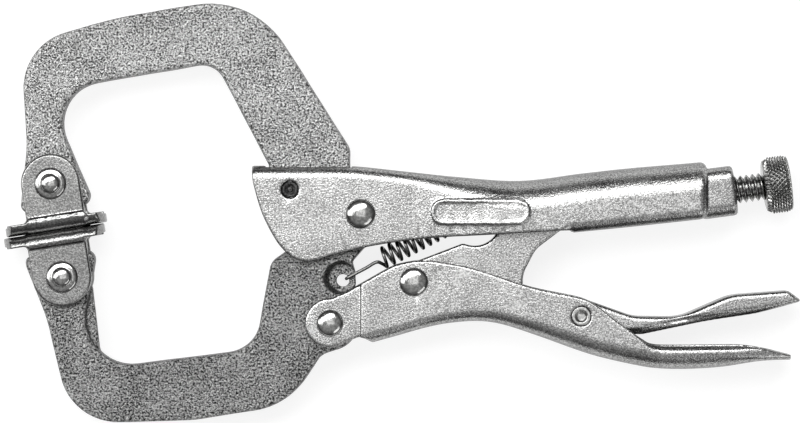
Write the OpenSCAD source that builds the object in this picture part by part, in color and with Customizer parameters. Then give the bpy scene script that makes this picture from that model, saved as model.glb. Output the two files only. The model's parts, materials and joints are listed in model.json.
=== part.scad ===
// Locking C-clamp pliers with swivel pads, lying on their side.
// X runs along the tool towards the thumb screw, Y from the lower handle towards the fixed jaw,
// and Z is the thickness. Every pivot runs along Z. Outlines are drawn about the jaw pivot,
// in the middle plane, and then moved as a whole into the frame of the tool.

/* [Placement] */
// Jaw pivot, to the left of the middle of the tool
pivot_x = -7.1; // [-9:0.05:-6]
// Jaw pivot, above the middle of the tool
pivot_y = -0.1; // [-2:0.05:2]
// Middle plane above the surface that the tool lies on
mid_z = 6.06; // [5.7:0.05:7]

/* [Jaws] */
// Thickness of both forged jaws
jaw_t = 5.6; // [5:0.1:6]
// Depth of the shallow steps where the body walls and pad ears lie on the fixed jaw
seat_step = 0.1; // [0.05:0.05:0.3]
// Radius of the movable jaw's hub round its pivot
hub_r = 5.8; // [5:0.1:6]
// Radius of the movable jaw's lug round the handle rivet
lug_r = 5; // [4.6:0.1:5.1]
// Radius of the hole that the return spring hooks into
spring_hole_r = 1.1; // [1:0.05:1.2]
// Radius of the thinned web round that hole
web_r = 2.9; // [2.6:0.1:3.2]
// Thickness of that web
web_t = 1.6; // [1.2:0.1:2]

/* [Pivots, from the jaw pivot] */
// Rivet between movable jaw and lower handle
handle_pivot = [-5.35, -19.05];
// Rivet between lower handle and toggle link
link_pivot = [9.25, -11.85];
// End of the toggle link, where the screw bears on it
screw_seat = [41, 0.85];
// Pin of the release lever
lever_pivot = [38.4, -17.85];
// Pin that holds the fixed jaw in the body
jaw_pin = [-12.3, 4.2];
// Rivet of the upper swivel pad
upper_pad_pivot = [-54, 5.25];
// Rivet of the lower swivel pad
lower_pad_pivot = [-52, -11.05];
// Hole for the return spring in the movable jaw
spring_hole = [-3.1, -11.7];

/* [Sheet metal] */
// Thickness of the handle sheet
sheet = 1.5; // [1.2:0.1:1.6]
// Gap between a channel's walls and the jaw between them, on each side
side_gap = 0.05; // [0.03:0.01:0.08]
// Half width of the body over the thumb screw
body_rear_half = 5.6; // [5.4:0.1:5.8]
// Half width of the lower handle just behind its ears
grip_front_half = 4.9; // [4.7:0.1:5]
// Half width of the lower handle at the grip
grip_rear_half = 5.6; // [5.4:0.1:5.8]
// Bevel that stands for the bend along the outer edges
bend_bevel = 1.5; // [1:0.1:1.8]

/* [Thumb screw] */
// Outside diameter of the thread, number 10
screw_d = 4.83; // [4.5:0.01:5]
// Pitch of the thread, 24 to the inch
screw_pitch = 1.058; // [1:0.001:1.1]
// Rise of the screw towards its knob, in degrees
screw_tilt = 7.5; // [6:0.5:9]
// Diameter of the knurled knob
knob_d = 10; // [9:0.1:11]
// Width of the knob
knob_w = 4.6; // [4:0.1:5]
// Distance from the link's end to the outer face of the knob
screw_reach = 34.4; // [33.6:0.1:34.8]
// Room between the link's end and the tip of the screw
screw_room = 2.1; // [2:0.1:2.6]
// Length of the plain tip
nose_l = 3.8; // [3:0.1:4.5]

/* [Swivel pads] */
// Diameter of the pad's plate
pad_d = 17.8; // [17:0.1:19]
// Thickness of the plate
pad_t = 1.6; // [1.4:0.1:2]
// Half width of a pad across its ears
pad_half = 4.35; // [4.3:0.05:4.4]
// Half width of a pad's base, below the ledge at the foot of the ears
base_half = 4.9; // [4.7:0.1:5.1]
// Distance from the pad's rivet to that ledge
ledge_at = 5.6; // [5.4:0.1:5.7]
// Distance from the pad's rivet to its clamping face
pad_reach = 8.15; // [8:0.05:8.16]
// Slant of the clamping plane, in degrees
pad_tilt = 9; // [8:0.5:10]
// Radius of an ear round its rivet
ear_r = 5.15; // [5:0.05:5.3]
// How far the plate sits towards the front of the rivet
pad_shift = -0.4; // [-1.2:0.1:0]

/* [Rivets and pins] */
// Radial running clearance of every pivot
fit = 0.04; // [0.02:0.01:0.06]
// Shank radius of the jaw rivet
jaw_rivet_r = 1.9; // [1.6:0.1:2]
// Shank radius of the other rivets
rivet_r = 1.6; // [1.4:0.1:1.7]
// Radius of the fixed jaw's pin
jaw_pin_r = 1.45; // [1.3:0.05:1.5]
// Radius of the release lever's pin
lever_pin_r = 1.65; // [1.5:0.05:1.7]

/* [Toggle link and release lever] */
// Thickness of the toggle link
link_t = 5.4; // [5:0.1:5.6]
// Radius of the link round the rivet in the lower handle
link_r = 3.4; // [3.3:0.1:3.6]
// Radius of the link's end under the screw
link_end_r = 2.6; // [2.4:0.1:2.7]
// Half width of the release lever
lever_half = 3.5; // [3.3:0.1:3.6]

/* [Return spring] */
// Wire diameter
wire_d = 0.6; // [0.5:0.05:0.7]
// Outside diameter of the coil
coil_d = 4; // [3.6:0.1:4.2]
// Distance from coil to coil
coil_pitch = 1.43; // [1.35:0.01:1.46]
// Number of coils
coils = 11; // [10:1:11]
// Middle of the first coil, from the jaw pivot
coil_start = [3.85, -7.85];
// Hole for the far hook, in a tab inside the body
spring_anchor = [23.7, 2.4];

/* [Hidden] */
$fn = 64;

// Number of straight pieces in a rounded corner
corner_steps = 8;
// A length that reaches past anything it cuts
past = 40;

jaw_half = jaw_t / 2;
seat_half = jaw_half - seat_step;
rib_half = 1.2;
wall_in = jaw_half + side_gap;
wall_out = wall_in + sheet;
screw_r = screw_d / 2;
thread_depth = 0.613 * screw_pitch;
screw_from = link_end_r + screw_room;
knob_from = screw_reach - knob_w;
collar_from = 18.4;
collar_to = 24.8;
// The body's walls curl under from here to the collar
curl_x = 36.8;

nickel = [0.78, 0.77, 0.74];
bright = [0.88, 0.88, 0.87];
forged = [0.70, 0.69, 0.66];
dark = [0.35, 0.34, 0.33];

// ---- Outlines ----

function unit(v) = v / norm(v);

// The corner at b between a and c, rounded with radius r
function corner(a, b, c, r) =
    r == 0 ? [b] :
    let (
        u = unit(a - b),
        v = unit(c - b),
        half = acos(u * v) / 2,
        centre = b + unit(u + v) * r / sin(half),
        from = b + u * r / tan(half) - centre,
        to = b + v * r / tan(half) - centre,
        start = atan2(from.y, from.x),
        sweep = (atan2(to.y, to.x) - start + 540) % 360 - 180
    )
    [for (i = [0:corner_steps])
        let (angle = start + sweep * i / corner_steps)
        centre + r * [cos(angle), sin(angle)]];

// A closed outline from corners written as [x, y, corner radius]
function rounded(corners) =
    let (n = len(corners), at = [for (p = corners) [p.x, p.y]])
    [for (i = [0:n - 1])
        each corner(at[(i + n - 1) % n], at[i], at[(i + 1) % n], corners[i][2])];

// The upper handle seen from its side
body_outline = rounded([
    [-18.9, 8.3, 0.8], [-1, 8.3, 6], [17, 6.4, 20], [28, 5.6, 12], [57.4, 8.8, 4],
    [60.4, 7.8, 0.5], [60.2, -0.9, 0.5], [curl_x, -3.35, 0.5], [curl_x - 1.6, -2.9, 0.5],
    [22, -3.7, 30], [2, -5.6, 40], [-9.6, -8.6, 3.2], [-14.2, -5.8, 5], [-17.6, 0, 14],
    [-19, 6.8, 1.2]
]);

// The space inside it: open below in front of the curl, and to the left
body_cavity = [
    [-21, 6.8], [-1, 6.8], [17, 4.9], [28, 4.1], [57, 7.1], [58.7, 6.6],
    [58.7, 0.4], [curl_x, -1.8], [curl_x, -12], [-21, -12]
];

// Half widths of the body along X
body_plan = [[-22, wall_out], [8, wall_out], [26, body_rear_half], [62, body_rear_half]];

// The fixed jaw, with its tail between the body's walls
fixed_jaw_outline = rounded([
    [-59.6, -0.2, 1.4], [-58.35, 12, 25], [-59.5, 29.5, 10.3], [-42, 34.4, 60],
    [-18.8, 38.2, 15.5], [-1.8, 11.3, 2.5], [-1.8, -1, 0], [-12.4, -1.2, 2],
    [-16.4, 3.5, 1.5], [-16.05, 8.4, 0.5], [-25.4, 26.3, 4.2], [-54.9, 21.25, 7.2],
    [-46.4, 1.6, 1.8]
]);

// The movable jaw without its round hub and lug
movable_jaw_outline = rounded([
    [-58.7, -7.6, 1], [-58.45, -9.3, 2], [-54.8, -18.7, 30], [-50.5, -36.8, 10.2],
    [-29, -36.15, 30], [-12.6, -33.6, 13.8], [-7.1, -25.1, 1.2], [-5.3, -23.9, 0],
    [-0.4, -19, 0], [-1.3, -14.9, 0.5], [-0.8, -12.3, 1], [-0.9, -10.1, 0.5],
    [-1.4, -8.4, 0.8], [1.1, -5.6, 0], [0, 0, 0], [-5.5, -1.4, 0], [-15.7, -8.4, 3],
    [-18.5, -23.7, 6.3], [-49.6, -27.5, 8], [-45.9, -6, 1.8]
]);

// Thin rib along the forging's parting line, inside the movable jaw's bend
inner_rib = [[-46.9, -12.8], [-45.6, -23.9], [-50, -25], [-50, -14]];

// The lower handle without its round ears
handle_outline = rounded([
    [-4.9, -14.95, 0], [9.3, -7, 15.8], [26.5, -11.55, 10], [30.3, -13, 6], [38.6, -14.5, 5],
    [43.8, -17.5, 15], [50.3, -23, 5], [68, -23, 12], [74.9, -24.7, 0.4], [74.7, -25.4, 0.3],
    [71.5, -25.5, 10], [60.5, -27.15, 15], [47.6, -27.15, 28], [19.75, -17.7, 23],
    [2.1, -22.6, 0.3], [0.9, -21.45, 0.4], [-0.6, -21.4, 0.6], [-3.3, -22.9, 0],
    [-5.35, -19.05, 0]
]);

// The space inside it, open above, and below in front of the web
handle_cavity = rounded([
    [-12, -2, 0], [80, -2, 0], [80, -24.4, 0], [71.5, -24.1, 10], [60.5, -25.65, 15],
    [47.8, -25.65, 26], [19.75, -16.2, 21], [1.6, -21.05, 0], [1.6, -30, 0], [-12, -30, 0]
]);

// Half widths of the lower handle along X, with the step behind its ears
handle_plan = [
    [-12, wall_out], [0.05, wall_out], [0.05, grip_front_half], [50, grip_rear_half],
    [66, grip_rear_half], [71, grip_rear_half - 0.6], [75, grip_rear_half - 2.4]
];

// The toggle link without its round ends
link_outline = rounded([
    [7.75, -9.1, 0], [18, -5.2, 0.4], [24.3, -2.7, 0.5], [27, -0.6, 2], [31.5, 2.5, 5],
    [40.4, 3.35, 0], [41.6, -1.65, 0], [35.4, -2.6, 4], [30.6, -6.2, 5], [28.3, -10.6, 5],
    [28.4, -14.8, 1.2], [20, -15.7, 8], [10, -15.6, 0]
]);

// The release lever
lever_outline = rounded([
    [30, -17.4, 0.6], [33, -15.3, 1.4], [39.6, -15.1, 3], [47.6, -17.95, 8],
    [55.6, -18.05, 9], [64.5, -14.2, 10], [74.6, -13.45, 1.2], [77, -15.25, 0.3],
    [69, -17.5, 20], [49, -21.7, 6], [40, -21.3, 3], [34, -20.4, 3]
]);

// ---- Shared shapes ----

// A solid of the given half thickness on both sides of the middle plane
module slab(outline, half) {
    linear_extrude(height = 2 * half, center = true) polygon(outline);
}

// What lies between the given half widths, seen from above
module plan(half_widths) {
    count = len(half_widths);
    near = [for (p = half_widths) [p.x, p.y]];
    far = [for (i = [count - 1:-1:0]) [half_widths[i].x, -half_widths[i].y]];
    rotate([90, 0, 0]) linear_extrude(height = 4 * past, center = true) polygon(concat(near, far));
}

function inset(half_widths, d) = [for (p = half_widths) [p.x, p.y - d]];

// A disc or a bore along Z
module disc(at, r, half) {
    translate([at.x, at.y, -half]) cylinder(r = r, h = 2 * half);
}

// Cuts a bevel along both outer edges that run from p to q, on the upper or lower side
module edge_bevels(p, q, half_p, half_q, side) {
    run = norm(q - p);
    block = 6;
    offset_out = block / (2 * sqrt(2)) - bend_bevel / 2;
    for (s = [-1, 1])
        translate([p.x, p.y, s * half_p])
            rotate([0, 0, atan2(q.y - p.y, q.x - p.x)])
                rotate([0, -s * atan((half_q - half_p) / run), 0])
                    translate([run / 2, side * offset_out, s * offset_out])
                        rotate([45, 0, 0]) cube([run + 0.6, block, block], center = true);
}

// The profile of a domed head, from the shank's end outwards
function dome(r, h, from) = [for (i = [0:6]) [r * cos(15 * i), from + h * sin(15 * i)]];

// A rivet with a domed head on both ends; half is the half grip
module rivet(at, shank, head, height, half) {
    profile = concat(
        [[0, 0], [shank, 0], [shank, half], [head, half]],
        dome(head, height, half + 0.15)
    );
    translate([at.x, at.y, 0])
        for (s = [0, 1]) mirror([0, 0, s]) rotate_extrude() polygon(profile);
}

// A rivet with a wide flange and a small domed boss on each end
module pad_rivet(at) {
    half = pad_half + 0.03;
    profile = concat(
        [[0, 0], [rivet_r, 0], [rivet_r, half], [2.7, half], [2.6, half + 0.35], [1.6, half + 0.6]],
        dome(1.5, 0.7, half + 0.6)
    );
    translate([at.x, at.y, 0])
        for (s = [0, 1]) mirror([0, 0, s]) rotate_extrude() polygon(profile);
}

// Puts a shape drawn along +X on the screw's axis, from the link's end
module on_screw_axis() {
    translate([screw_seat.x, screw_seat.y, 0])
        rotate([0, 0, screw_tilt]) rotate([0, 90, 0]) children();
}

// ---- Body ----

// The pressed end of the body that holds the thread
module collar() {
    side = 4.35;
    on_screw_axis()
        translate([0, 0, collar_from])
            linear_extrude(height = collar_to - collar_from)
                polygon(rounded([
                    [-side, -side, 2.2], [side, -side, 2.2], [side, side, 2.2], [-side, side, 2.2]
                ]));
}

// Tab inside the body for the far hook of the spring
module spring_tab() {
    difference() {
        translate([spring_anchor.x - 1.3, spring_anchor.y - 1.3, -0.75]) cube([3.2, 3.6, 1.5]);
        disc(spring_anchor, 0.7, 2);
    }
}

module upper_handle() {
    color(nickel) {
        difference() {
            union() {
                difference() {
                    intersection() {
                        slab(body_outline, past);
                        plan(body_plan);
                    }
                    intersection() {
                        slab(body_cavity, past);
                        plan(inset(body_plan, sheet));
                    }
                    edge_bevels([-19, 8.3], [-1, 8.3], wall_out, wall_out, 1);
                    edge_bevels([-1, 8.3], [8, 7.35], wall_out, wall_out, 1);
                    edge_bevels([8, 7.35], [17, 6.4], wall_out, (wall_out + body_rear_half) / 2, 1);
                    edge_bevels([17, 6.4], [26, 5.75], (wall_out + body_rear_half) / 2, body_rear_half, 1);
                    edge_bevels([26, 5.6], [58.4, 8.95], body_rear_half, body_rear_half, 1);
                    edge_bevels([curl_x, -3.35], [60.3, -0.9], body_rear_half, body_rear_half, -1);
                }
                collar();
            }
            // Slot in the top for the fixed jaw's tail
            translate([-16.6, 0, -wall_in]) cube([15, 12, 2 * wall_in]);
            // Slot between the curled edges
            translate([curl_x - 1, -6, -3]) cube([22, 7, 6]);
            disc([0, 0], jaw_rivet_r + fit, past);
            disc(jaw_pin, jaw_pin_r + fit, past);
            // Hole for the screw
            on_screw_axis() translate([0, 0, 15]) cylinder(r = screw_r + fit, h = 15);
        }
        spring_tab();
    }
}

module fixed_jaw() {
    color(forged)
        difference() {
            slab(fixed_jaw_outline, jaw_half);
            disc([0, 0], hub_r + 0.25, past);
            disc(jaw_pin, jaw_pin_r + fit, past);
            disc(upper_pad_pivot, rivet_r + fit, past);
            for (s = [-1, 1])
                translate([0, 0, s * (seat_half + 1)]) {
                    // Seats of the body walls and of the pad's ears
                    translate([-20, -6, -1]) cube([22, 14.3, 2]);
                    translate([upper_pad_pivot.x, upper_pad_pivot.y, -1]) cylinder(r = ear_r + 0.4, h = 2);
                    translate([-64, -4, -1]) cube([20, upper_pad_pivot.y + 4.8, 2]);
                }
        }
}

module fixed_jaw_pin() {
    color(dark) disc(jaw_pin, jaw_pin_r, wall_out - 0.8);
}

module jaw_pivot_rivet() {
    color(bright) rivet([0, 0], jaw_rivet_r, 2.6, 1.1, wall_out + 0.03);
}

// ---- Movable jaw ----

module movable_jaw() {
    color(forged)
        difference() {
            union() {
                slab(movable_jaw_outline, jaw_half);
                slab(inner_rib, rib_half);
                disc([0, 0], hub_r, jaw_half);
                disc(handle_pivot, lug_r, jaw_half);
            }
            disc([0, 0], jaw_rivet_r + fit, past);
            disc(handle_pivot, rivet_r + fit, past);
            disc(lower_pad_pivot, rivet_r + fit, past);
            disc(spring_hole, spring_hole_r, past);
            for (s = [-1, 1])
                translate([spring_hole.x - 0.5, spring_hole.y + 0.5, s * (web_t / 2 + 2) - 2])
                    cylinder(r = web_r, h = 4);
        }
}

module handle_rivet() {
    color(bright) rivet(handle_pivot, rivet_r, 2.35, 1.0, wall_out + 0.03);
}

// ---- Lower handle ----

module lower_handle() {
    color(nickel)
        difference() {
            intersection() {
                union() {
                    slab(handle_outline, past);
                    disc(handle_pivot, 4.3, past);
                }
                plan(handle_plan);
            }
            intersection() {
                slab(handle_cavity, past);
                plan(inset(handle_plan, sheet));
            }
            disc(handle_pivot, rivet_r + fit, past);
            disc(link_pivot, rivet_r + fit, past);
            disc(lever_pivot, lever_pin_r + fit, past);
            edge_bevels([2, -22.6], [15, -19.1], grip_front_half, 5.1, -1);
            edge_bevels([24, -19.2], [43, -25.8], 5.2, 5.5, -1);
            edge_bevels([43, -25.7], [50, -27], 5.5, grip_rear_half, -1);
            edge_bevels([50, -27.1], [61, -27.1], grip_rear_half, grip_rear_half, -1);
        }
}

module link_rivet() {
    color(bright) rivet(link_pivot, rivet_r, 2.5, 0.85, grip_front_half + 0.16);
}

// Flat pin with a drilled end
module lever_pin() {
    half = 5.55;
    color(bright)
        difference() {
            disc(lever_pivot, lever_pin_r, half);
            for (s = [-1, 1])
                translate([lever_pivot.x, lever_pivot.y, s * half - 0.5]) cylinder(r = 0.85, h = 1);
        }
}

module toggle_link() {
    color(nickel)
        difference() {
            union() {
                slab(link_outline, link_t / 2);
                disc(link_pivot, link_r, link_t / 2);
                disc(screw_seat, link_end_r, link_t / 2);
            }
            // Notch that clears the spring
            disc([19.9, -1.15], 4.5, past);
            disc(link_pivot, rivet_r + fit, past);
        }
}

module release_lever() {
    color(nickel)
        difference() {
            slab(lever_outline, lever_half);
            translate([0, -1.3, 0])
                intersection() {
                    slab(lever_outline, lever_half - 1.2);
                    translate([36, -40, -past]) cube([38, 60, 2 * past]);
                }
            disc(lever_pivot, lever_pin_r + fit, past);
        }
}

// ---- Thumb screw ----

// Thread flanks from one end to the other, as rings
function thread(from, to) =
    let (count = floor((to - from) / screw_pitch))
    [for (i = [0:count - 1]) each [
        [screw_r - thread_depth, from + i * screw_pitch],
        [screw_r, from + (i + 0.5) * screw_pitch]
    ]];

module adjusting_screw() {
    thread_from = screw_from + nose_l + 0.02;
    color(bright)
        on_screw_axis()
            rotate_extrude()
                polygon(concat(
                    [[0, thread_from]],
                    thread(thread_from, knob_from),
                    [
                        [screw_r - thread_depth, knob_from], [knob_d / 2 - 1, knob_from],
                        [knob_d / 2, knob_from + 0.6], [knob_d / 2, screw_reach - 0.4],
                        [knob_d / 2 - 0.5, screw_reach], [0, screw_reach]
                    ]
                ));
}

module screw_tip() {
    color(dark)
        on_screw_axis()
            rotate_extrude()
                polygon([
                    [0, screw_from], [1, screw_from], [1.7, screw_from + 0.7],
                    [1.7, screw_from + nose_l], [0, screw_from + nose_l]
                ]);
}

// ---- Swivel pads ----

// A pad about its rivet, with the clamping face below
module pad() {
    bend_r = 2.2;
    tip = pad_reach - pad_t;
    cross_section = rounded([
        [-pad_half, 7, 0], [-pad_half, -ledge_at, 0], [-base_half, -ledge_at, 0.3],
        [-base_half, -pad_reach, bend_r], [base_half, -pad_reach, bend_r],
        [base_half, -ledge_at, 0.3], [pad_half, -ledge_at, 0], [pad_half, 7, 0],
        [wall_in, 7, 0], [wall_in, -tip, 0], [-wall_in, -tip, 0], [-wall_in, 7, 0]
    ]);
    color(nickel)
        difference() {
            intersection() {
                rotate([0, 90, 0]) linear_extrude(height = past, center = true) polygon(cross_section);
                union() {
                    disc([0, 0], ear_r, past);
                    translate([-ear_r, -pad_reach - 1, -past]) cube([2 * ear_r, pad_reach + 1, 2 * past]);
                    translate([pad_shift, -pad_reach, 0])
                        rotate([-90, 0, 0]) cylinder(d = pad_d, h = pad_t);
                }
            }
            disc([0, 0], rivet_r + fit, past);
        }
}

module upper_pad() {
    translate([upper_pad_pivot.x, upper_pad_pivot.y, 0]) rotate([0, 0, pad_tilt]) pad();
}

module lower_pad() {
    translate([lower_pad_pivot.x, lower_pad_pivot.y, 0])
        rotate([0, 0, pad_tilt]) mirror([0, 1, 0]) pad();
}

// ---- Return spring ----

coil_r = (coil_d - wire_d) / 2;
coil_dir = unit(spring_anchor - coil_start);
coil_side = [-coil_dir.y, coil_dir.x];
coil_end = coil_start + coils * coil_pitch * coil_dir;
ring_steps = 12;
hook_z = web_t / 2 + wire_d / 2 + 0.1;

function flat(p, z) = [p.x, p.y, z];

// The wire's middle line: hook through the jaw, coils, hook through the tab
spring_path = concat(
    [
        flat(spring_hole + [0.6, 0.3], -1.6), flat(spring_hole + [0.6, 0.3], 0.8),
        flat(spring_hole + [1.25, 0.7], hook_z), flat(spring_hole + [4, 2.15], hook_z),
        flat(coil_start - 1.2 * coil_dir - 0.2 * coil_side, 0.5)
    ],
    [for (i = [0:coils * ring_steps])
        let (angle = 360 * i / ring_steps, at = coil_start + coil_dir * coil_pitch * i / ring_steps)
        flat(at - coil_side * coil_r * cos(angle), coil_r * sin(angle))],
    [
        flat(coil_end + 1.4 * coil_dir - 0.5 * coil_side, -0.4),
        flat(spring_anchor - 2.2 * coil_dir, -1.2), flat(spring_anchor - 0.4 * coil_dir, -1.25),
        flat(spring_anchor, -0.8), flat(spring_anchor, 1.3)
    ]
);

// A tube with 8 sides along a path, closed at both ends
module wire(path, r) {
    n = len(path);
    sides = 8;
    function along(i) = unit(path[min(i + 1, n - 1)] - path[max(i - 1, 0)]);
    function across(i) =
        let (t = along(i), a = cross(t, flat(coil_dir, 0) * 0.94 + [0, 0, 0.34]))
        norm(a) > 0.01 ? unit(a) : unit(cross(t, [0.3, 1, 0]));
    points = [for (i = [0:n - 1], k = [0:sides - 1])
        let (t = along(i), a = across(i), b = cross(t, a), angle = 360 * k / sides)
        path[i] + r * (a * cos(angle) + b * sin(angle))];
    walls = [for (i = [0:n - 2], k = [0:sides - 1])
        let (m = (k + 1) % sides)
        [i * sides + k, (i + 1) * sides + k, (i + 1) * sides + m, i * sides + m]];
    ends = [[for (k = [0:sides - 1]) k], [for (k = [sides - 1:-1:0]) (n - 1) * sides + k]];
    polyhedron(points, concat(walls, ends));
}

module return_spring() {
    color(dark) wire(spring_path, wire_d / 2);
}

module upper_pad_rivet() {
    color(bright) pad_rivet(upper_pad_pivot);
}

module lower_pad_rivet() {
    color(bright) pad_rivet(lower_pad_pivot);
}

translate([pivot_x, pivot_y, mid_z]) {
    upper_handle();
    fixed_jaw();
    fixed_jaw_pin();
    jaw_pivot_rivet();
    return_spring();
    movable_jaw();
    handle_rivet();
    lower_handle();
    link_rivet();
    lever_pin();
    toggle_link();
    release_lever();
    adjusting_screw();
    screw_tip();
    upper_pad();
    upper_pad_rivet();
    lower_pad();
    lower_pad_rivet();
}
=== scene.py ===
import bpy
import json
import math
import numpy as np
from mathutils import Matrix, Vector


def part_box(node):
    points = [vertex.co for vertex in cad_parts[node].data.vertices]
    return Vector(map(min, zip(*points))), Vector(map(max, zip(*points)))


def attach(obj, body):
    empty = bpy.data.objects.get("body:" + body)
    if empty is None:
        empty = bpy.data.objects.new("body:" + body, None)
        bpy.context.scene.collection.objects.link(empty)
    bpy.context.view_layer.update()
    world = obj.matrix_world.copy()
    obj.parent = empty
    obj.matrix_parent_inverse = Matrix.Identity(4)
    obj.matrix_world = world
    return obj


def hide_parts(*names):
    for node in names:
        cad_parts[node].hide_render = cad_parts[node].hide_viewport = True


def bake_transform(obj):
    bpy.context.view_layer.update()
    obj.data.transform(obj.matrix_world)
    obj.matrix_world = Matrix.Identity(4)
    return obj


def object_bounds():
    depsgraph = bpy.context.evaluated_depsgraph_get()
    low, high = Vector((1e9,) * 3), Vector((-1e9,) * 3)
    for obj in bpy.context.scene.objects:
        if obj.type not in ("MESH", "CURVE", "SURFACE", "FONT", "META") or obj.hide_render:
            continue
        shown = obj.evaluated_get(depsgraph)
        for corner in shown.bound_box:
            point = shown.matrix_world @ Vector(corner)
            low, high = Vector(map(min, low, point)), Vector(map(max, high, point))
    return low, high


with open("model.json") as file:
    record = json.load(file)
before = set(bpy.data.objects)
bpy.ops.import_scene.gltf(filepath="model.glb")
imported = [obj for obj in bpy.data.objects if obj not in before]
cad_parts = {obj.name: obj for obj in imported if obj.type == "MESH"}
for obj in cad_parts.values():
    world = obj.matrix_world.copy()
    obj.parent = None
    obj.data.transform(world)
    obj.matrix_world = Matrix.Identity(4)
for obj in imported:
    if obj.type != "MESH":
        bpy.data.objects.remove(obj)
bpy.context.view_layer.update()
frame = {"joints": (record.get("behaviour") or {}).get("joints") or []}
joint = {j["name"]: j for j in frame["joints"]}
PIVOT = np.array(joint["jaw_pivot"]["pos_m"])
SCREW_POS = (np.array(joint["screw_turn"]["pos_m"]) - PIVOT) * 1000
SCREW_DIR = np.array(joint["screw_turn"]["axis"])
TILT = math.atan2(SCREW_DIR[1], SCREW_DIR[0])


def pivot_of(name):
    """A joint's place in mm from the jaw pivot, in the plane of the tool."""
    at = (np.array(joint[name]["pos_m"]) - PIVOT) * 1000
    return at[:2]


def middle_of(node):
    low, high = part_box(node)
    return (((np.array(low) + np.array(high)) / 2 - PIVOT) * 1000)[:2]


HANDLE = pivot_of("grip_pivot")
LINK = pivot_of("link_pivot")
LEVER = pivot_of("release_lever_pivot")
PAD_UP = pivot_of("upper_pad_swivel")
PAD_LOW = pivot_of("lower_pad_swivel")
JAW_PIN = middle_of("fixed_jaw_pin")
SEAT = SCREW_POS[:2]
SPRING_HOLE = np.array([-3.1, -11.7])

# All outlines and sizes below are in mm from the jaw pivot, in the tool's middle plane.
SHEET = 1.5
JAW_HALF = 2.8
EAR_IN = 2.85
FRONT_HALF = 4.35
REAR_HALF = 5.6
SCREW_R = 2.415
PITCH = 1.058
THREAD_DEPTH = 0.62
KNOB_R = 5.0
KNURL_DEPTH = 0.75
KNURL_ROUND = 34
KNURL_STEP = 0.93
WIRE_R = 0.3
COIL_R = 1.7
COIL_PITCH = 1.43
COILS = 11
COIL_START = np.array([3.85, -7.85])
SPRING_ANCHOR = np.array([23.7, 2.4])
PAD_REACH = 8.15
PAD_SHEET = 1.6
PAD_PLATE = 1.95
PAD_PLATE_R = 8.9
PAD_SHIFT = -0.4
PAD_LEDGE = 5.6
PAD_EAR_R = 5.15
PAD_TILT = math.radians(9)
LINK_HALF = 2.65
LEVER_HALF = 3.45

# Camera and view, in metres
CAMERA_DISTANCE = 0.8
CAMERA_LEAN = math.radians(0.4)
VIEW_WIDTH = 0.14
SENSOR_MM = 36


# ---------------------------------------------------------------- outlines

def rounded(corners, steps=8):
    """A closed outline from corners written as (x, y, radius)."""
    p = [np.array(c[:2], float) for c in corners]
    out = []
    n = len(p)
    for i in range(n):
        r = corners[i][2] if len(corners[i]) > 2 else 0
        b = p[i]
        if r == 0:
            out.append(b)
            continue
        u = (p[i - 1] - b) / np.linalg.norm(p[i - 1] - b)
        v = (p[(i + 1) % n] - b) / np.linalg.norm(p[(i + 1) % n] - b)
        half = math.acos(max(-1, min(1, float(u @ v)))) / 2
        w = (u + v) / np.linalg.norm(u + v)
        centre = b + w * r / math.sin(half)
        start = b + u * r / math.tan(half) - centre
        end = b + v * r / math.tan(half) - centre
        a0 = math.atan2(start[1], start[0])
        sweep = (math.atan2(end[1], end[0]) - a0 + 3 * math.pi) % (2 * math.pi) - math.pi
        for k in range(steps + 1):
            a = a0 + sweep * k / steps
            out.append(centre + r * np.array([math.cos(a), math.sin(a)]))
    return np.array(out)


def smooth_curve(points, steps=6):
    """A Catmull-Rom curve through the points."""
    p = [np.array(q, float) for q in points]
    p = [2 * p[0] - p[1]] + p + [2 * p[-1] - p[-2]]
    out = []
    for i in range(1, len(p) - 2):
        for k in range(steps):
            t = k / steps
            out.append(0.5 * ((2 * p[i]) + (p[i + 1] - p[i - 1]) * t
                              + (2 * p[i - 1] - 5 * p[i] + 4 * p[i + 1] - p[i + 2]) * t * t
                              + (3 * p[i] - p[i - 1] - 3 * p[i + 1] + p[i + 2]) * t ** 3))
    out.append(p[-2])
    return np.array(out)


def ease(x, a, b):
    t = np.clip((x - a) / (b - a), 0, 1)
    return t * t * (3 - 2 * t)


# ---------------------------------------------------------------- distance fields

class Grid:
    """A regular grid of sample points, in mm from the jaw pivot."""

    def __init__(self, low, high, step):
        self.low, self.step = np.array(low, float), step
        self.x, self.y, self.z = (np.arange(a, b, step) for a, b in zip(low, high))
        self.X = self.x[:, None, None]
        self.Y = self.y[None, :, None]
        self.Z = self.z[None, None, :]
        self.A = np.abs(self.Z)

    def flat(self, outline):
        """Distance to a closed outline in the plane, below 0 inside it."""
        x, y = self.x[:, None], self.y[None, :]
        best = np.full((len(self.x), len(self.y)), 1e9)
        inside = np.zeros(best.shape, bool)
        for a, b in zip(outline, np.roll(outline, -1, axis=0)):
            e = b - a
            length = float(e @ e)
            if length < 1e-12:
                continue
            t = np.clip(((x - a[0]) * e[0] + (y - a[1]) * e[1]) / length, 0, 1)
            best = np.minimum(best, (x - a[0] - t * e[0]) ** 2 + (y - a[1] - t * e[1]) ** 2)
            if a[1] != b[1]:
                across = (a[1] <= y) != (b[1] <= y)
                inside ^= across & (x < e[0] * (y - a[1]) / e[1] + a[0])
        return (np.where(inside, -1, 1) * np.sqrt(best))[:, :, None]

    def disc(self, at, r):
        return np.hypot(self.X - at[0], self.Y - at[1]) - r


def meet(a, b, r=0.0):
    """What a and b share, with the edge between them rounded."""
    if np.isscalar(r) and r == 0:
        return np.maximum(a, b)
    corner = np.hypot(np.maximum(a + r, 0), np.maximum(b + r, 0))
    return np.minimum(-r, np.maximum(a, b)) + corner


def join(a, b, r=0.0):
    """a and b together, with a fillet between them."""
    return -meet(-a, -b, r)


def cut(a, b, r=0.0):
    """a without b."""
    return meet(a, -b, r)


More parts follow.
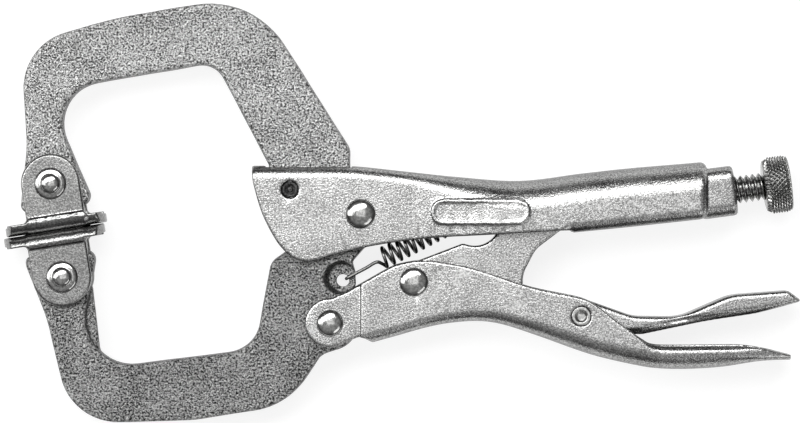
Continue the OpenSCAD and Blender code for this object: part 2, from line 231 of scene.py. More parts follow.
def crown(flat, half, wide, drop):
    """Half thickness that falls away towards the outline, as on a forging."""
    t = np.clip(1 + flat / wide, 0, 1)
    return half - drop * (1 - np.sqrt(1 - t * t * 0.98))


def wavy(g, size, seed):
    """A slow unevenness between about -1 and 1."""
    rng = np.random.default_rng(seed)
    out = 0
    for _ in range(5):
        kx, ky = rng.normal(0, 1 / size, 2)
        p = rng.uniform(0, 6.283)
        out = out + np.sin(kx * 6.283 * g.X + ky * 6.283 * g.Y + p)
    return out / 3


def skin(f, g):
    """The surface of a field where it is 0, as points and quads."""
    f = np.ascontiguousarray(np.broadcast_to(f, (len(g.x), len(g.y), len(g.z))), float)
    inside = f < 0
    n = np.array(f.shape)
    cells = n - 1
    size = int(np.prod(cells))
    total = np.zeros((3, size))
    count = np.zeros(size)
    quads = []
    for ax in range(3):
        lo, hi = [slice(None)] * 3, [slice(None)] * 3
        lo[ax], hi[ax] = slice(0, -1), slice(1, None)
        a, b = f[tuple(lo)], f[tuple(hi)]
        sa = inside[tuple(lo)]
        m = sa != inside[tuple(hi)]
        at = np.argwhere(m)
        av, bv, out = a[m], b[m], sa[m]
        o = [k for k in range(3) if k != ax]
        ok = np.all((at[:, o] >= 1) & (at[:, o] <= n[o] - 2), axis=1)
        at, av, bv, out = at[ok], av[ok], bv[ok], out[ok]
        place = at.astype(float)
        place[:, ax] += av / (av - bv)
        ring = []
        for d in ((0, 0), (-1, 0), (-1, -1), (0, -1)):
            c = at.copy()
            c[:, o[0]] += d[0]
            c[:, o[1]] += d[1]
            flat = np.ravel_multi_index(c.T, cells)
            ring.append(flat)
            count += np.bincount(flat, minlength=size)
            for k in range(3):
                total[k] += np.bincount(flat, place[:, k], minlength=size)
        ring = np.array(ring).T
        turn = out if ax != 1 else ~out
        ring[~turn] = ring[~turn][:, ::-1]
        quads.append(ring)
    quads = np.concatenate(quads)
    used = np.flatnonzero(count > 0)
    index = np.full(size, -1)
    index[used] = np.arange(len(used))
    points = (total[:, used] / count[used]).T * g.step + g.low
    return points, index[quads]


# ---------------------------------------------------------------- pieces

def to_row(points):
    return np.asarray(points, float) / 1000 + PIVOT


def piece(name, points, faces, material, body, nodes, thin=None):
    """A finished piece: its mesh in the row frame, its material, and what it stands for."""
    mesh = bpy.data.meshes.new(name)
    mesh.from_pydata(to_row(points).tolist(), [], [list(map(int, q)) for q in faces])
    mesh.update()
    obj = bpy.data.objects.new(name, mesh)
    bpy.context.scene.collection.objects.link(obj)
    if thin:
        mod = obj.modifiers.new("thin", "DECIMATE")
        mod.ratio = thin
        bpy.context.view_layer.update()
        done = bpy.data.meshes.new_from_object(obj.evaluated_get(bpy.context.evaluated_depsgraph_get()))
        obj.modifiers.clear()
        obj.data = done
        mesh = done
    mesh.materials.clear()
    mesh.materials.append(material)
    mesh.shade_smooth()
    if body:
        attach(obj, body)
    if nodes:
        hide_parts(*nodes)
    return obj


def lathe(profile, segments=64):
    """Points and faces of (r, z) pairs turned round Z; the ends close on the axis."""
    points, faces = [], []
    rows = []
    for r, z in profile:
        if r < 1e-6:
            rows.append([len(points)] * segments)
            points.append((0, 0, z))
            continue
        rows.append(list(range(len(points), len(points) + segments)))
        for k in range(segments):
            a = 2 * math.pi * k / segments
            points.append((r * math.cos(a), r * math.sin(a), z))
    for one, two in zip(rows, rows[1:]):
        for k in range(segments):
            m = (k + 1) % segments
            quad = [one[k], one[m], two[m], two[k]]
            flat = [v for i, v in enumerate(quad) if v != quad[i - 1]]
            if len(flat) > 2:
                faces.append(flat)
    return np.array(points, float), faces


def soften(profile, r=0.12, steps=3):
    """Rounds the corners of an open profile, but for its two ends."""
    out = [np.array(profile[0], float)]
    for a, b, c in zip(profile, profile[1:], profile[2:]):
        a, b, c = (np.array(v, float) for v in (a, b, c))
        la, lc = np.linalg.norm(a - b), np.linalg.norm(c - b)
        k = min(r, la * 0.45, lc * 0.45)
        p, q = b + (a - b) / la * k, b + (c - b) / lc * k
        for i in range(steps + 1):
            t = i / steps
            out.append((1 - t) ** 2 * p + 2 * t * (1 - t) * b + t * t * q)
    out.append(np.array(profile[-1], float))
    return out


def along_axis(points, start, direction):
    """Moves points drawn round +Z onto an axis, in mm from the jaw pivot."""
    z = np.array(direction, float) / np.linalg.norm(direction)
    x = np.cross([0, 0, 1], z)
    x = np.array([1, 0, 0]) if np.linalg.norm(x) < 1e-6 else x / np.linalg.norm(x)
    y = np.cross(z, x)
    return np.asarray(points) @ np.array([x, y, z]) + np.array(start, float)


def tube(path, r, sides=12):
    """A round tube along a path, closed at both ends."""
    path = np.asarray(path, float)
    n = len(path)
    normal = np.array([0.3, 0.1, 1.0])
    points, faces = [], []
    for i in range(n):
        t = path[min(i + 1, n - 1)] - path[max(i - 1, 0)]
        t /= np.linalg.norm(t)
        normal = normal - t * (normal @ t)
        normal /= np.linalg.norm(normal)
        other = np.cross(t, normal)
        for k in range(sides):
            a = 2 * math.pi * k / sides
            points.append(path[i] + r * (normal * math.cos(a) + other * math.sin(a)))
    for i in range(n - 1):
        for k in range(sides):
            m = (k + 1) % sides
            faces.append([i * sides + k, i * sides + m, (i + 1) * sides + m, (i + 1) * sides + k])
    faces.append(list(range(sides - 1, -1, -1)))
    faces.append([(n - 1) * sides + k for k in range(sides)])
    return np.array(points), faces


# ---------------------------------------------------------------- materials

def metal(name, light, deep, rough, grain, grain_bump, spread=0.12, edge=0.4):
    """Plated steel: fine grain, slow patches of tone, an uneven gloss, and painted shade that darkens steep
    sides down to edge times the tone. Sizes in mm.
    """
    mat = bpy.data.materials.new(name)
    mat.use_nodes = True
    nodes, links = mat.node_tree.nodes, mat.node_tree.links
    bsdf = nodes["Principled BSDF"]
    bsdf.inputs["Metallic"].default_value = 1.0
    coords = nodes.new("ShaderNodeTexCoord")

    def noise(size, detail):
        tex = nodes.new("ShaderNodeTexNoise")
        tex.inputs["Scale"].default_value = 1000 / size
        tex.inputs["Detail"].default_value = detail
        tex.inputs["Roughness"].default_value = 0.6
        links.new(coords.outputs["Object"], tex.inputs["Vector"])
        return tex.outputs["Fac"]

    fine = noise(grain, 2.0)
    slow = noise(6.0, 3.0)
    blend = nodes.new("ShaderNodeMath")
    blend.operation = "MULTIPLY_ADD"
    links.new(fine, blend.inputs[0])
    blend.inputs[1].default_value = 5.0
    links.new(slow, blend.inputs[2])
    contrast = nodes.new("ShaderNodeMapRange")
    contrast.inputs["From Min"].default_value = 2.4
    contrast.inputs["From Max"].default_value = 3.6
    links.new(blend.outputs[0], contrast.inputs["Value"])
    ramp = nodes.new("ShaderNodeValToRGB")
    ramp.color_ramp.elements[0].color = (*deep, 1)
    ramp.color_ramp.elements[1].color = (*light, 1)
    links.new(contrast.outputs["Result"], ramp.inputs["Fac"])
    # Painted shade: the further a face turns from the flat sides, the darker its base colour, down to edge
    # times the tone
    facing = nodes.new("ShaderNodeSeparateXYZ")
    links.new(coords.outputs["Normal"], facing.inputs[0])
    level = nodes.new("ShaderNodeMath")
    level.operation = "ABSOLUTE"
    links.new(facing.outputs["Z"], level.inputs[0])
    painted_side_shade = nodes.new("ShaderNodeMapRange")
    painted_side_shade.inputs["From Min"].default_value = 0.1
    painted_side_shade.inputs["From Max"].default_value = 0.85
    painted_side_shade.inputs["To Min"].default_value = edge
    links.new(level.outputs[0], painted_side_shade.inputs["Value"])
    shaded_tone = nodes.new("ShaderNodeVectorMath")
    shaded_tone.operation = "SCALE"
    links.new(ramp.outputs["Color"], shaded_tone.inputs[0])
    links.new(painted_side_shade.outputs["Result"], shaded_tone.inputs["Scale"])
    links.new(shaded_tone.outputs[0], bsdf.inputs["Base Color"])
    gloss = nodes.new("ShaderNodeMapRange")
    gloss.inputs["From Min"].default_value = 0.3
    gloss.inputs["From Max"].default_value = 0.7
    gloss.inputs["To Min"].default_value = rough - spread
    gloss.inputs["To Max"].default_value = rough + spread
    links.new(slow, gloss.inputs["Value"])
    links.new(gloss.outputs["Result"], bsdf.inputs["Roughness"])
    bump = nodes.new("ShaderNodeBump")
    bump.inputs["Strength"].default_value = 1.0
    bump.inputs["Distance"].default_value = grain_bump / 1000
    links.new(fine, bump.inputs["Height"])
    links.new(bump.outputs["Normal"], bsdf.inputs["Normal"])
    return mat


SHEET_METAL = metal("plated_sheet", (0.70, 0.70, 0.695), (0.26, 0.26, 0.257), 0.24, 0.28, 0.06,
                    spread=0.06, edge=0.16)
FORGED = metal("forged_nickel", (0.84, 0.84, 0.835), (0.07, 0.07, 0.069), 0.36, 0.34, 0.34,
               spread=0.05, edge=0.25)
# The movable jaw gets a darker copy of the same finish: painted shade
FORGED_SHADED = metal("forged_nickel_shaded", (0.58, 0.58, 0.575), (0.03, 0.03, 0.03), 0.36, 0.34, 0.38,
                   spread=0.05, edge=0.25)
PAD = metal("pad_nickel", (0.40, 0.40, 0.395), (0.19, 0.19, 0.188), 0.20, 0.30, 0.04,
            spread=0.05, edge=0.5)
TURNED = metal("turned_steel", (0.55, 0.55, 0.54), (0.20, 0.20, 0.197), 0.22, 0.4, 0.02, edge=0.6)
BRIGHT = metal("bright_steel", (0.62, 0.62, 0.61), (0.38, 0.38, 0.375), 0.12, 0.5, 0.02,
               spread=0.04, edge=0.25)
DARK = metal("dark_steel", (0.10, 0.10, 0.10), (0.03, 0.03, 0.03), 0.45, 0.4, 0.05)
WIRE = metal("spring_wire", (0.34, 0.34, 0.33), (0.14, 0.14, 0.14), 0.30, 0.3, 0.01)


# ---------------------------------------------------------------- jaws

def build_fixed_jaw():
    g = Grid((-60.8, -6.6, -3.3), (0.2, 38.6, 3.31), 0.22)
    outline = rounded([
        (-59.6, -0.2, 1.4), (-58.35, 12, 25), (-59.5, 29.5, 10.3), (-42, 34.4, 60),
        (-18.8, 38.2, 15.5), (-1.8, 11.3, 2.5), (-1.8, -1, 0), (-12.4, -1.2, 2),
        (-16.4, 3.5, 1.5), (-16.05, 8.4, 0.5), (-25.4, 26.3, 4.2), (-54.9, 21.25, 7.2),
        (-46.4, 1.6, 1.8)], 12)
    flat = g.flat(outline) - 0.04 * wavy(g, 24, 3)
    f = meet(flat + 0.06 * g.A, g.A - crown(flat, JAW_HALF, 1.5, 0.6), 0.3)
    f = cut(f, g.disc((0, 0), 6.05), 0.2)
    f = cut(f, g.disc(JAW_PIN, 1.49), 0)
    f = cut(f, g.disc(PAD_UP, 1.7), 0.2)
    points, faces = skin(f, g)
    piece("fixed_jaw_forging", points, faces, FORGED, "body", ["fixed_jaw"], 0.4)


def build_movable_jaw():
    g = Grid((-60.0, -39.2, -3.3), (6.6, 6.6, 3.31), 0.22)
    outline = rounded([
        (-58.7, -7.6, 1), (-58.45, -9.3, 2), (-54.8, -18.7, 30), (-50.5, -36.8, 10.2),
        (-29, -36.15, 30), (-12.6, -33.6, 13.8), (-7.1, -25.1, 1.2), (-5.3, -23.9, 0),
        (-0.4, -19, 0), (-1.3, -14.9, 0.5), (-0.8, -12.3, 1), (-0.9, -10.1, 0.5),
        (-1.4, -8.4, 0.8), (1.1, -5.6, 0), (0, 0, 0), (-5.5, -1.4, 0), (-15.7, -8.4, 3),
        (-18.5, -23.7, 6.3), (-49.6, -27.5, 8), (-45.9, -6, 1.8)], 12)
    flat = g.flat(outline) - 0.04 * wavy(g, 24, 8)
    flat = join(join(flat, g.disc((0, 0), 5.75), 0.5), g.disc(HANDLE, 4.95), 0.8)
    f = meet(flat + 0.06 * g.A, g.A - crown(flat, JAW_HALF, 1.5, 0.6), 0.3)
    # Thin rib on the parting line, inside the bend
    rib = g.flat(np.array([(-46.9, -12.8), (-45.6, -23.9), (-50, -25), (-50, -14)]))
    f = join(f, meet(rib, g.A - 1.1, 0.15), 0.3)
    # Thinned web round the spring's hole, its wall sloping most on the jaw's side
    deep = np.clip((g.A - 0.8) / 2, 0, 1)
    web = np.hypot(g.X + 3.15 + 0.45 * deep, g.Y + 11.26 - 0.06 * deep) - 2.4 - 0.5 * deep
    f = cut(f, np.maximum(web, 0.8 - g.A), 0.2)
    f = cut(f, g.disc(SPRING_HOLE, 1.1), 0.15)
    f = cut(f, g.disc((0, 0), 1.95), 0)
    f = cut(f, g.disc(HANDLE, 1.65), 0)
    f = cut(f, g.disc(PAD_LOW, 1.7), 0.2)
    points, faces = skin(f, g)
    piece("movable_jaw_forging", points, faces, FORGED_SHADED, "lower_jaw", ["movable_jaw"],
          0.4)


# ---------------------------------------------------------------- handles

def build_upper_handle():
    g = Grid((-20.0, -9.4, -6.2), (67.6, 10.4, 6.21), 0.22)
    half = FRONT_HALF + (REAR_HALF - FRONT_HALF) * ease(g.X, 7, 27)
    shoulder = 2.2 + 3.0 * ease(g.X, 6, 27)
    top = smooth_curve([
        (-22, 8.3), (-18.9, 8.35), (-10, 8.35), (-1.8, 8.3), (6.8, 7.45), (16.8, 6.4), (27.8, 5.7),
        (38.3, 6.95), (46.9, 7.9), (57, 8.75), (64, 9.4)])
    roof = g.flat(np.concatenate([top, [(64, -60), (-22, -60)]]))
    tube_ = meet(roof, g.A - half, shoulder)
    under = smooth_curve([(36.8, -3.35), (47.4, -2.3), (59.7, -0.95), (64, -0.4)])
    floor_ = g.flat(np.concatenate([[(-60, -60), (36.8, -60)], under, [(64, 60), (-60, 60)]]))
    tube_ = meet(tube_, floor_, 1.9)
    tube_ = meet(tube_, g.X - 60.5, 1.3)
    f = np.maximum(tube_, -(tube_ + SHEET))
    front = smooth_curve([
        (-18.95, 12), (-18.9, 6.65), (-18.3, 3.7), (-17.3, 0.4), (-16.25, -1.95), (-14.9, -4.4),
        (-13.5, -6.25), (-11.6, -7.8), (-9.5, -8.35), (-7.5, -8.1), (-4.7, -7.2), (1.45, -5.75),
        (7.8, -4.75), (13.7, -4.15), (23.1, -3.65), (35.2, -2.95), (36.9, -3.2)])
    edge = g.flat(np.concatenate([front, [(36.9, -60), (90, -60), (90, 60), (-18.95, 60)]]))
    f = meet(f, edge, 0.3)
    # Slots for the fixed jaw and between the curled edges
    f = cut(f, np.maximum(np.maximum(g.A - EAR_IN, np.abs(g.X + 9.1) - 7.5), 2 - g.Y), 0.25)
    f = cut(f, np.maximum(np.maximum(g.A - 3, np.abs(g.X - 47) - 10.4), g.Y - 1.2), 0.25)
    # Plain raised panel, on the side that shows; inside, it runs in to the middle plane
    panel = np.hypot(np.maximum(np.abs(g.X - 20.9) - 6.4, 0), g.Y - 0.3) - 2.2
    rim = np.maximum(np.abs(panel + 0.3) - 0.3, tube_ - 0.28)
    field = np.maximum(panel, tube_ - 0.1)
    f = join(f, np.maximum(np.minimum(rim, field), -g.Z), 0.12)
    # Collar that holds the thread
    s = (g.X - SEAT[0]) * math.cos(TILT) + (g.Y - SEAT[1]) * math.sin(TILT)
    t = (g.Y - SEAT[1]) * math.cos(TILT) - (g.X - SEAT[0]) * math.sin(TILT)
    collar = meet(np.abs(t) - 4.35, g.A - 4.35, 2.3)
    bulge = 24.8 - 0.012 * (t * t + g.Z * g.Z)
    collar = meet(collar, np.maximum(s - bulge, 18.4 - s), 0.6)
    f = np.minimum(f, collar)
    f = cut(f, np.maximum(np.hypot(t, g.Z) - 2.5, 15 - s), 0.15)
    f = cut(f, g.disc(JAW_PIN, 1.49), 0.2)
    points, faces = skin(f, g)
    piece("upper_handle_shell", points, faces, SHEET_METAL, "body", ["upper_handle"], 0.4)


def build_lower_handle():
    g = Grid((-10.4, -28.4, -6.2), (75.6, -6.6, 6.21), 0.22)
    half = (FRONT_HALF + 0.55 * ease(g.X, -0.1, 0.2) + 0.7 * ease(g.X, 4, 50)
            - 0.5 * ease(g.X, 64, 71) - 1.6 * ease(g.X, 69, 77))
    under = smooth_curve([
        (1.4, -22.6), (2, -22.5), (6, -21.4), (11.5, -19.85), (15.8, -19.05), (20.6, -18.75),
        (25, -19.4), (31.4, -21.5), (40.2, -24.6), (48.3, -26.5), (52.5, -27.05), (57.5, -27.1),
        (63.3, -26.7), (69.4, -25.7), (74.2, -25.5), (78, -25.65)])
    floor_ = g.flat(np.concatenate([[(-60, -60), (1.4, -60)], under, [(78, 60), (-60, 60)]]))
    tube_ = meet(floor_, g.A - half, 2.0 + 1.2 * ease(g.X, 15, 45) - 2.2 * ease(g.X, 62, 72))
    f = np.maximum(tube_, -(tube_ + SHEET))
    lip = smooth_curve([
        (-9.8, -13), (-7.5, -15.3), (-3.24, -13.97), (-0.94, -12.8), (4.7, -9.63), (6.9, -8.76),
        (10.9, -8.17), (15, -8.6), (19, -9.4), (23.6, -10.8), (28.9, -12.6), (32.8, -13.55),
        (37.2, -14.4), (39.8, -15.2), (42.1, -16.7), (43.8, -18.1), (46.4, -20), (49, -21.8),
        (51.3, -22.95), (56, -23.1), (62, -23.05), (67, -23.1), (71.2, -23.75), (75, -24.65)])
    belly = [(75.05, -25.5), (74, -30), (2.3, -30), (1.9, -22.4), (0.8, -21.8), (-0.3, -21.5),
             (-3.3, -22.7)]
    # The first point of the lip only sets the direction in which it starts
    edge = g.flat(np.concatenate([lip[7:], belly, [(-8.4, -21.5), (-8.4, -16.2)]]))
    ear = g.disc(HANDLE, 4.3)
    edge = np.minimum(np.where(g.X < HANDLE[0], 9, edge), ear)
    # The edge is rolled over along the tail
    rolled = meet(tube_, edge, 0.3 + 1.0 * ease(g.X, 47, 52) - 1.1 * ease(g.X, 64, 71))
    f = np.maximum(f, rolled)
    f = cut(f, g.disc(HANDLE, 1.7), 0)
    f = cut(f, g.disc(LINK, 1.7), 0)
    f = cut(f, g.disc(LEVER, 1.69), 0.2)
    points, faces = skin(f, g)
    piece("lower_handle_shell", points, faces, SHEET_METAL, "grip", ["lower_handle"], 0.4)


def build_link():
    g = Grid((4.6, -16.6, -3.2), (44.4, 4.4, 3.21), 0.2)
    outline = rounded([
        (7.75, -9.1, 0), (18, -5.2, 0.4), (24.3, -2.7, 0.5), (27, -0.6, 2), (31.5, 2.5, 5),
        (40.4, 3.35, 0), (41.6, -1.65, 0), (35.4, -2.6, 4), (30.6, -6.2, 5), (28.3, -10.6, 5),
        (28.4, -14.8, 1.2), (20, -15.7, 8), (10, -15.6, 0)])
    flat = join(join(g.flat(outline), g.disc(LINK, 3.35), 0.3), g.disc(SEAT, 2.55), 0.3)
    flat = cut(flat, g.disc((19.9, -1.15), 4.5), 0.3)
    f = meet(flat, g.A - LINK_HALF, 0.4)
    f = cut(f, g.disc(LINK, 1.65), 0)
    points, faces = skin(f, g)
    piece("toggle_link_plate", points, faces, SHEET_METAL, "link", ["toggle_link"], 0.5)


def build_lever():
    g = Grid((29.0, -22.6, -4.1), (77.6, -12.2, 4.11), 0.2)
    outline = rounded([
        (30, -17.4, 0.6), (33, -15.3, 1.4), (39.6, -15.1, 3), (47.6, -17.95, 8),
        (55.6, -18.05, 9), (64.5, -14.2, 10), (74.6, -13.45, 1.2), (77, -15.25, 0.3),
        (69, -17.5, 20), (49, -21.7, 6), (40, -21.3, 3), (34, -20.4, 3)])
    # The side turns under along the bottom, most where the lever leaves the handle
    low = ease(-(g.Y - (-19.7 + 0.19 * (g.X - 49))), -0.4, 0.4)
    turn = 0.8 + 1.9 * low * (1 - ease(g.X, 58, 76))
    over = meet(g.flat(outline), g.A - LEVER_HALF, turn)
    inside = meet(g.flat(outline - [0, 1.3]), g.A - 2.25, 0.3)
    f = cut(over, np.maximum(inside, np.abs(g.X - 55) - 19), 0.2)
    f = cut(f, g.disc(LEVER, 1.69), 0)
    points, faces = skin(f, g)
    piece("release_lever_channel", points, faces, SHEET_METAL, "release", ["release_lever"],
          0.5)


# ---------------------------------------------------------------- pads

def build_pad(name, node, body, at, side):
    """side is -1 when the clamping face is below the rivet, 1 when it is above."""
    g = Grid((-12, -9.2, -5.6), (9.6, 6.2, 5.61), 0.14)
    u, v = g.X, g.Y
    half = FRONT_HALF + 0.55 * ease(-v, PAD_LEDGE - 0.12, PAD_LEDGE + 0.12)
    # A rough ridge just below the ledge
    half = half + 0.05 * wavy(g, 1.4, 5) * np.exp(-((v + PAD_LEDGE + 0.45) / 0.3) ** 2)
    profile = meet(-(v + PAD_REACH), g.A - half, 2.2)
    inner = np.maximum(-(v + PAD_REACH - PAD_SHEET), g.A - EAR_IN)
    strap = cut(profile, inner, 0.25)
    ear = np.maximum(np.hypot(u, np.maximum(v, 0)) - PAD_EAR_R, np.abs(u) - PAD_EAR_R)
    plate = np.maximum(np.hypot(u - PAD_SHIFT, g.Z) - PAD_PLATE_R, v + PAD_REACH - PAD_PLATE)
    f = join(meet(profile, plate, 0.3), meet(strap, ear, 0.45), 0.7)
    f = cut(f, inner, 0.2)
    f = cut(f, np.hypot(u, v) - 1.65, 0)
    points, faces = skin(f, g)
    if side > 0:
        points[:, 1] *= -1
        faces = faces[:, ::-1]
    c, s = math.cos(PAD_TILT), math.sin(PAD_TILT)
    turn = np.array([[c, s, 0], [-s, c, 0], [0, 0, 1]])
    points = points @ turn + np.array([at[0], at[1], 0])
    piece(name, points, faces, PAD, body, [node], 0.4)


# ---------------------------------------------------------------- rivets and pins

def two_ended(profile):
    """A profile from the middle outwards, mirrored to both ends."""
    return [(r, -z) for r, z in reversed(profile)] + list(profile)


def dome(r, h, start, steps=8):
    return [(r * math.cos(math.radians(90 * i / steps)), start + h * math.sin(math.radians(90 * i / steps)))
            for i in range(steps + 1)]


def build_rivet(name, node, body, at, shank, head, height, half):
    profile = [(shank, 0), (shank, half), (head - 0.05, half)] + dome(head, height, half + 0.12)
    points, faces = lathe(two_ended(profile))
    points[:, :2] += at
    piece(name, points, faces, BRIGHT, body, [node])


def build_pad_rivet(name, node, body, at):
    half = 4.38
    flange = [(1.6, 0), (1.6, half), (2.8, half), (2.79, half + 0.12), (2.65, half + 0.34),
              (2.35, half + 0.5), (1.95, half + 0.58), (1.66, half + 0.6)]
    profile = flange + dome(1.62, 0.6, half + 0.66)[:6] + [(0.4, half + 1.25), (0, half + 1.25)]
    points, faces = lathe(two_ended(profile))
    points[:, :2] += at
    piece(name, points, faces, BRIGHT, body, [node])


def build_pins():
    half = 5.55
    end = soften([(1.65, 0), (1.65, half), (1.1, half), (0.85, half - 0.25), (0.75, half - 0.5),
                  (0, half - 0.5)], 0.12)
    points, faces = lathe(two_ended([tuple(p) for p in end]))
    points[:, :2] += LEVER
    piece("lever_pin_turned", points, faces, BRIGHT, "grip", ["lever_pin"])
    half = 3.5
    end = soften([(1.44, 0), (1.44, half), (1.0, half + 0.02), (0.55, half - 0.25), (0.45, half),
                  (0, half)], 0.1)
    points, faces = lathe(two_ended([tuple(p) for p in end]))
    points[:, :2] += JAW_PIN
    piece("jaw_pin_turned", points, faces, DARK, "body", ["fixed_jaw_pin"])


# ---------------------------------------------------------------- thumb screw

def build_screw():
    start, knob_at, reach = 8.52, 29.8, 34.4
    around, per = 48, 10
    rows = int((knob_at - start) / PITCH * per)
    points, faces = [], []
    for i in range(rows + 1):
        s = start + (knob_at - start) * i / rows
        fade = min(1, (s - start) / 0.5)
        for k in range(around):
            a = 2 * math.pi * k / around
            phase = (s / PITCH - k / around) % 1
            ridge = 1 - abs(2 * phase - 1)
            r = SCREW_R - THREAD_DEPTH + THREAD_DEPTH * min(1, max(0, ridge * 1.25 - 0.1)) * fade
            points.append((r * math.cos(a), r * math.sin(a), s))
    for i in range(rows):
        for k in range(around):
            m = (k + 1) % around
            faces.append([i * around + k, i * around + m, (i + 1) * around + m, (i + 1) * around + k])
    faces.append(list(range(around - 1, -1, -1)))
    faces.append([rows * around + k for k in range(around)])
    rod = (np.array(points), faces)
    # Knob with a diamond knurl between two chamfers
    per_knurl = 12
    around = KNURL_ROUND * per_knurl
    ends_low = [(2.3, knob_at - 0.02), (2.9, knob_at), (4.0, knob_at), (4.35, knob_at + 0.12)]
    ends_high = [(4.75, reach - 0.25), (4.45, reach - 0.05), (4.0, reach), (2.0, reach - 0.02),
                 (0, reach - 0.02)]
    low, high = knob_at + 0.75, reach - 0.4
    band = 44
    profile = ends_low + [None] * (band + 1) + ends_high
    points, faces, rings = [], [], []
    j = 0
    for item in profile:
        if item is not None and item[0] == 0:
            rings.append([len(points)] * around)
            points.append((0, 0, item[1]))
            continue
        rings.append(list(range(len(points), len(points) + around)))
        if item is None:
            s = low + (high - low) * j / band
            j += 1
        for k in range(around):
            a = 2 * math.pi * k / around
            if item is None:
                p = k / per_knurl
                q = (s - low) / KNURL_STEP
                one = abs(((p + q) % 1) * 2 - 1)
                two = abs(((p - q) % 1) * 2 - 1)
                depth = KNURL_DEPTH * (1 - min(1, 1.1 * min(one, two)))
                near_end = min(s - low, high - s)
                r = KNOB_R - depth - 0.3 * max(0, 1 - near_end / 0.35)
                points.append((r * math.cos(a), r * math.sin(a), s))
            else:
                points.append((item[0] * math.cos(a), item[0] * math.sin(a), item[1]))
    for one, two in zip(rings, rings[1:]):
        for k in range(around):
            m = (k + 1) % around
            quad = [one[k], one[m], two[m], two[k]]
            flat = [v for i, v in enumerate(quad) if v != quad[i - 1]]
            faces.append(flat)
    faces.append(list(reversed(rings[0])))
    for name, (p, f), nodes in (("screw_thread", rod, ["adjusting_screw"]),
                                ("screw_knob", (np.array(points), faces), ["adjusting_screw"])):
        p = along_axis(p, SCREW_POS * [1, 1, 0], SCREW_DIR)
        piece(name, p, f, TURNED, "thumb_screw", nodes)
    tip = soften([(0, 4.7), (1.0, 4.7), (1.7, 5.4), (1.7, 8.5), (0, 8.5)], 0.15)
    p, f = lathe([tuple(q) for q in tip])
    p = along_axis(p, SCREW_POS * [1, 1, 0], SCREW_DIR)
    piece("screw_tip_turned", p, f, TURNED, "screw_slide", ["screw_tip"])


# ---------------------------------------------------------------- spring

def build_spring():
    start, anchor, hole = COIL_START, SPRING_ANCHOR, SPRING_HOLE
    d = (anchor - start) / np.linalg.norm(anchor - start)
    side = np.array([-d[1], d[0]])
    end = start + COILS * COIL_PITCH * d

    def at(p, z):
        return np.array([p[0], p[1], z])
    lead = smooth_curve([
        at(hole + [0.6, 0.3], -1.6), at(hole + [0.6, 0.3], 0.2), at(hole + [0.75, 0.4], 0.95),
        at(hole + [1.25, 0.7], 1.2), at(hole + [4.0, 2.15], 1.2), at(hole + [5.9, 3.2], 1.1),
        at(start - 0.35 * d - 1.0 * side, 0.5)], 5)
    per_turn = 24
    turns = [at(start - side * COIL_R * math.cos(a) + d * COIL_PITCH * a / (2 * math.pi),
                COIL_R * math.sin(a))
             for a in np.linspace(0, 2 * math.pi * COILS, COILS * per_turn + 1)]
    tail = smooth_curve([
        turns[-1], at(end + 0.9 * d - 1.2 * side, -0.5), at(anchor - 2.4 * d, -1.1),
        at(anchor - 0.7 * d, -1.25), at(anchor, -0.9), at(anchor, 1.3)], 5)[1:]
    path = np.concatenate([lead, turns, tail])
    points, faces = tube(path, WIRE_R, 12)
    obj = piece("return_spring_wire", points, faces, WIRE, None, ["return_spring"])
    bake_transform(obj)


# ---------------------------------------------------------------- stage

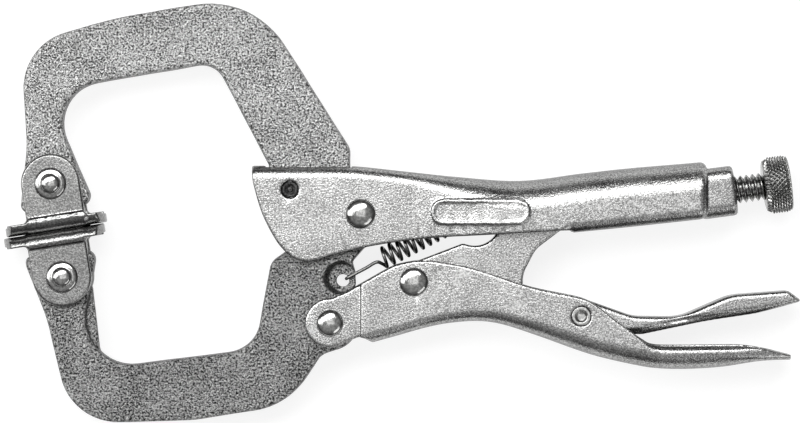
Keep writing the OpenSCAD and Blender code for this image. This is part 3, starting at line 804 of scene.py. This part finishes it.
def build_stage():
    mesh = bpy.data.meshes.new("floor")
    mesh.from_pydata([(-3, -3, 0), (3, -3, 0), (3, 3, 0), (-3, 3, 0)], [], [(0, 1, 2, 3)])
    floor_ = bpy.data.objects.new("floor", mesh)
    bpy.context.scene.collection.objects.link(floor_)
    floor_.location.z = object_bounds()[0][2] - 0.00002
    mat = bpy.data.materials.new("floor_paper")
    mat.use_nodes = True
    nodes, links = mat.node_tree.nodes, mat.node_tree.links
    bsdf = nodes["Principled BSDF"]
    bsdf.inputs["Roughness"].default_value = 0.9
    bsdf.inputs["Specular IOR Level"].default_value = 0.1
    # A light table: its own glow leaves almost no shadow round the tool
    bsdf.inputs["Emission Color"].default_value = (1, 1, 1, 1)
    bsdf.inputs["Emission Strength"].default_value = 0.82
    tex = nodes.new("ShaderNodeTexNoise")
    tex.inputs["Scale"].default_value = 400
    ramp = nodes.new("ShaderNodeValToRGB")
    ramp.color_ramp.elements[0].color = (0.26, 0.26, 0.26, 1)
    ramp.color_ramp.elements[1].color = (0.30, 0.30, 0.30, 1)
    links.new(tex.outputs["Fac"], ramp.inputs["Fac"])
    links.new(ramp.outputs["Color"], bsdf.inputs["Base Color"])
    floor_.data.materials.append(mat)

    world = bpy.data.worlds.new("studio")
    bpy.context.scene.world = world
    world.use_nodes = True
    nodes, links = world.node_tree.nodes, world.node_tree.links
    coords = nodes.new("ShaderNodeTexCoord")
    split = nodes.new("ShaderNodeSeparateXYZ")
    links.new(coords.outputs["Generated"], split.inputs[0])
    ramp = nodes.new("ShaderNodeValToRGB")
    ramp.color_ramp.elements[0].position = 0.0
    ramp.color_ramp.elements[0].color = (0.05, 0.05, 0.05, 1)
    ramp.color_ramp.elements[1].position = 1.0
    ramp.color_ramp.elements[1].color = (0.42, 0.42, 0.42, 1)
    mid = ramp.color_ramp.elements.new(0.45)
    mid.color = (0.10, 0.10, 0.10, 1)
    links.new(split.outputs["Z"], ramp.inputs["Fac"])
    links.new(ramp.outputs["Color"], nodes["Background"].inputs["Color"])
    nodes["Background"].inputs["Strength"].default_value = 1.0

    def lamp(name, place, size, power):
        """A rectangular lamp, in metres and watts, aimed at the origin."""
        data = bpy.data.lights.new(name, "AREA")
        data.shape = "RECTANGLE"
        data.size, data.size_y = size
        data.energy = power
        obj = bpy.data.objects.new(name, data)
        bpy.context.scene.collection.objects.link(obj)
        obj.location = place
        obj.rotation_euler = (-Vector(place)).to_track_quat("-Z", "Y").to_euler()

    lamp("key", (-0.12, 0.30, 0.62), (0.9, 0.30), 3.9)
    lamp("left", (-0.60, 0.05, 0.45), (0.3, 0.6), 1.2)
    lamp("fill", (0.45, -0.50, 0.45), (0.5, 0.3), 0.7)
    lamp("top", (0.0, 0.10, 0.95), (0.5, 0.5), 0.6)


def build_camera():
    data = bpy.data.cameras.new("camera")
    obj = bpy.data.objects.new("camera", data)
    bpy.context.scene.collection.objects.link(obj)
    aim = Vector(PIVOT) + Vector((0.00688, 0.00034, 0))
    offset = Vector((0, math.sin(CAMERA_LEAN), math.cos(CAMERA_LEAN))) * CAMERA_DISTANCE
    obj.location = aim + offset
    back = offset.normalized()
    right = Vector((1, 0, 0))
    up = back.cross(right).normalized()
    obj.rotation_euler = Matrix((right, up, back)).transposed().to_euler()
    data.sensor_width = SENSOR_MM
    data.lens = SENSOR_MM * CAMERA_DISTANCE / VIEW_WIDTH
    data.clip_start = 0.01
    bpy.context.scene.camera = obj
    bpy.context.scene.view_settings.view_transform = "Standard"


build_fixed_jaw()
build_movable_jaw()
build_upper_handle()
build_lower_handle()
build_link()
build_lever()
build_pad("upper_pad_pressed", "upper_pad", "pad_above", PAD_UP, -1)
build_pad("lower_pad_pressed", "lower_pad", "pad_below", PAD_LOW, 1)
build_rivet("jaw_rivet_domed", "jaw_pivot_rivet", "body", (0, 0), 1.9, 2.6, 1.1, 4.38)
build_rivet("handle_rivet_domed", "handle_rivet", "lower_jaw", HANDLE, 1.6, 2.35, 1.0, 4.38)
build_rivet("link_rivet_domed", "link_rivet", "grip", LINK, 1.6, 2.5, 0.85, 5.06)
build_pad_rivet("upper_pad_rivet_domed", "upper_pad_rivet", "body", PAD_UP)
build_pad_rivet("lower_pad_rivet_domed", "lower_pad_rivet", "lower_jaw", PAD_LOW)
build_pins()
build_screw()
build_spring()
build_stage()
build_camera()
